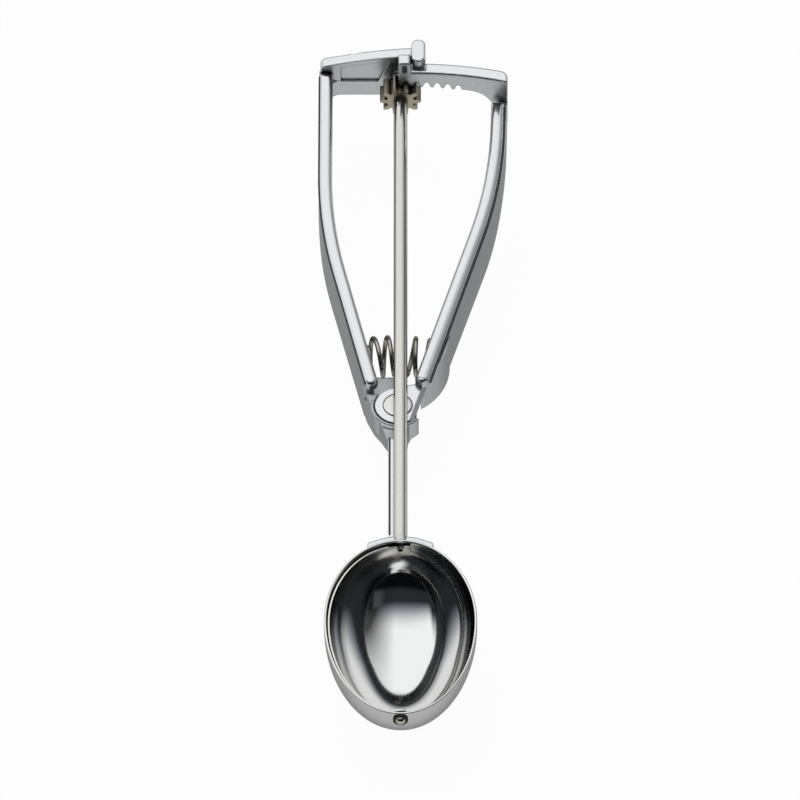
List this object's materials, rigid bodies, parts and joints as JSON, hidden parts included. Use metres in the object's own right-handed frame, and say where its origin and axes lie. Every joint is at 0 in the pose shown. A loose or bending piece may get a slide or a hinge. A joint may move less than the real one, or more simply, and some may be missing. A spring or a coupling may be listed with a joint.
{
  "type": "lever ice cream scoop",
  "caption": "Portion scoop with an oval bowl and two squeeze handles. Closing the handles drives a rack and pinion that sweeps a scraper blade round inside the bowl.",
  "frame": {"origin": "on the scraper shaft's axis, level with the lever's pivot", "axes": "+X to the lever's side, +Y along the shaft from the bowl to the top of the handles, +Z out of the bowl's mouth"},
  "size_m": [0.0552, 0.2438, 0.0365],
  "materials": {
    "casting": "die casting, polished bead and front faces, satin flanks",
    "lever_casting": "die casting, polished bead and front faces, satin flanks",
    "pinion_brass": "dull pale nickel brass, as cut",
    "bright_steel": "polished stainless rod",
    "blade_steel": "polished stainless strip",
    "bowl_steel": "mirror polished stainless sheet",
    "collar_steel": "turned collar",
    "rivet_steel": "bright plated steel",
    "pin_steel": "bright steel pin and washer",
    "spring_steel": "drawn spring wire, slightly dark"
  },
  "bodies": {
    "frame": {"fixed_handle": "casting", "bowl": "bowl_steel", "rear_bush": "collar_steel", "pivot_rivet": "rivet_steel", "pivot_washer": "rivet_steel", "front_pin": "pin_steel", "front_washer": "pin_steel", "return_spring": "spring_steel"},
    "lever": {"lever_handle": "lever_casting"},
    "scraper": {"scraper_shaft": "bright_steel", "pinion": "pinion_brass", "scraper_blade": "blade_steel"}
  },
  "joints": [
    {"name": "lever_hinge", "type": "hinge", "parent": "frame", "child": "lever", "pos_m": [-0.0008, 0, 0], "axis": [0, 0, 1], "range_deg": [0, 7.3], "stiffness_Nm_per_rad": 2, "springref_deg": -11.46, "deforming": ["return_spring"]},
    {"name": "scraper_turn", "type": "hinge", "parent": "frame", "child": "scraper", "pos_m": [0, 0, 0], "axis": [0, 1, 0], "range_deg": [-170, 0]}
  ],
  "couplings": [
    {"joint": "scraper_turn", "follows": "lever_hinge", "ratio": -23.16}
  ]
}
